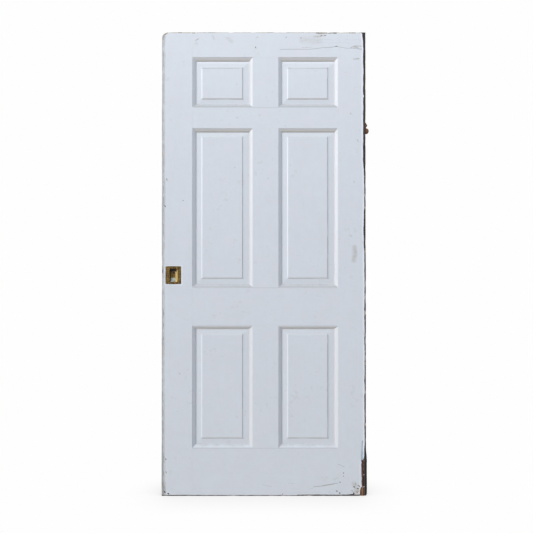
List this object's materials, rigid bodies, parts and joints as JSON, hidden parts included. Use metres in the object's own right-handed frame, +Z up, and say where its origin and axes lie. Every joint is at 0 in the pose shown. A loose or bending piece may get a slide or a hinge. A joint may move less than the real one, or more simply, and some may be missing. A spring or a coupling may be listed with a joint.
{
  "type": "six-panel sliding door leaf",
  "caption": "Old white-painted frame-and-panel wooden door leaf with raised panels, flush brass cup pulls and a thin hook lock in its leading edge.",
  "frame": {"origin": "middle of the bottom edge, in the middle of the thickness", "axes": "+Z up along the height, +X to the right along the width as seen from the front, the front face looks along -Y"},
  "size_m": [0.9294, 0.0368, 2.081],
  "materials": {
    "painted_wood": "old white oil paint, chipped at the edges",
    "bare_wood": "bare aged pine",
    "aged_brass": "darkened unlacquered brass",
    "lock_brass": "plain brass",
    "lock_iron": "black japanned iron",
    "lock_steel": "dull steel",
    "rusty_iron": "rusted"
  },
  "bodies": {
    "leaf": {"lock_stile": "painted_wood", "back_stile": "painted_wood", "top_rail": "painted_wood", "frieze_rail": "painted_wood", "lock_rail": "painted_wood", "bottom_rail": "painted_wood", "top_muntin": "painted_wood", "middle_muntin": "painted_wood", "bottom_muntin": "painted_wood", "panel_top_left": "painted_wood", "panel_top_right": "painted_wood", "panel_middle_left": "painted_wood", "panel_middle_right": "painted_wood", "panel_bottom_left": "painted_wood", "panel_bottom_right": "painted_wood", "tenon_wedges": "bare_wood", "pull_front": "aged_brass", "pull_back": "aged_brass", "pull_screws": "aged_brass", "lock_front_plate": "aged_brass", "lock_plate_screws": "aged_brass", "lock_case": "lock_iron", "lock_cover": "lock_steel", "lock_cover_screws": "lock_steel", "lock_spring": "lock_steel", "edge_stop": "rusty_iron", "edge_stop_screw": "rusty_iron"},
    "hook": {"lock_hook": "lock_brass"}
  },
  "joints": [
    {"name": "hook_swing", "type": "hinge", "parent": "leaf", "child": "hook", "pos_m": [-0.444, 0, 0.985], "axis": [0, -1, 0], "range_deg": [0, 75]}
  ]
}
